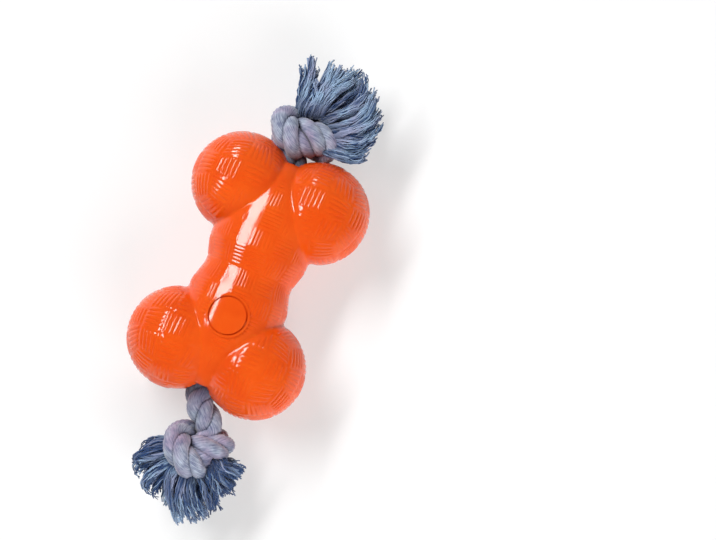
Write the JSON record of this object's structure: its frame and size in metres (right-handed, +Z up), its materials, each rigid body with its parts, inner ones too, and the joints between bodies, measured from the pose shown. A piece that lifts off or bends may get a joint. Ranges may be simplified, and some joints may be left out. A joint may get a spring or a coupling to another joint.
{
  "type": "rubber bone rope toy",
  "caption": "Moulded rubber bone with ball lobes on a laid cotton rope that runs through it, knotted and frayed at both ends, for a dog to chew and tug.",
  "frame": {"origin": "on the surface that the bone lies on, under the middle of the bone", "axes": "+Z up, +Y along the bone towards the end whose knot sits in the notch, +X across the bone"},
  "size_m": [0.0888, 0.2339, 0.0498],
  "materials": {
    "orange_rubber": "glossy",
    "cotton_rope": "matte"
  },
  "bodies": {
    "bone": {"rubber_bone": "orange_rubber"},
    "rope_run": {"rope_strand_1": "cotton_rope", "rope_strand_2": "cotton_rope", "rope_strand_3": "cotton_rope"},
    "rope_ends": {"upper_neck": "cotton_rope", "upper_knot": "cotton_rope", "lower_neck": "cotton_rope"},
    "upper_tassel": {"upper_tuft_1": "cotton_rope", "upper_tuft_2": "cotton_rope", "upper_tuft_3": "cotton_rope"},
    "lower_end": {"lower_knot": "cotton_rope", "lower_tuft_1": "cotton_rope", "lower_tuft_2": "cotton_rope", "lower_tuft_3": "cotton_rope"}
  },
  "joints": [
    {"name": "rope_slide", "type": "slide", "parent": "bone", "child": "rope_run", "axis": [0, 1, 0], "range_m": [0, 0.006]},
    {"name": "rope_turn", "type": "hinge", "parent": "rope_run", "child": "rope_ends", "pos_m": [0, 0, 0.02485], "axis": [0, 1, 0], "continuous": true},
    {"name": "upper_tassel_swing", "type": "hinge", "parent": "rope_ends", "child": "upper_tassel", "pos_m": [0, 0.07519, 0.02485], "axis": [0, 0, 1], "range_deg": [0, 70]},
    {"name": "lower_swing", "type": "hinge", "parent": "rope_ends", "child": "lower_end", "pos_m": [0, -0.069, 0.02485], "axis": [0, 0, 1], "range_deg": [-62, 0]}
  ]
}
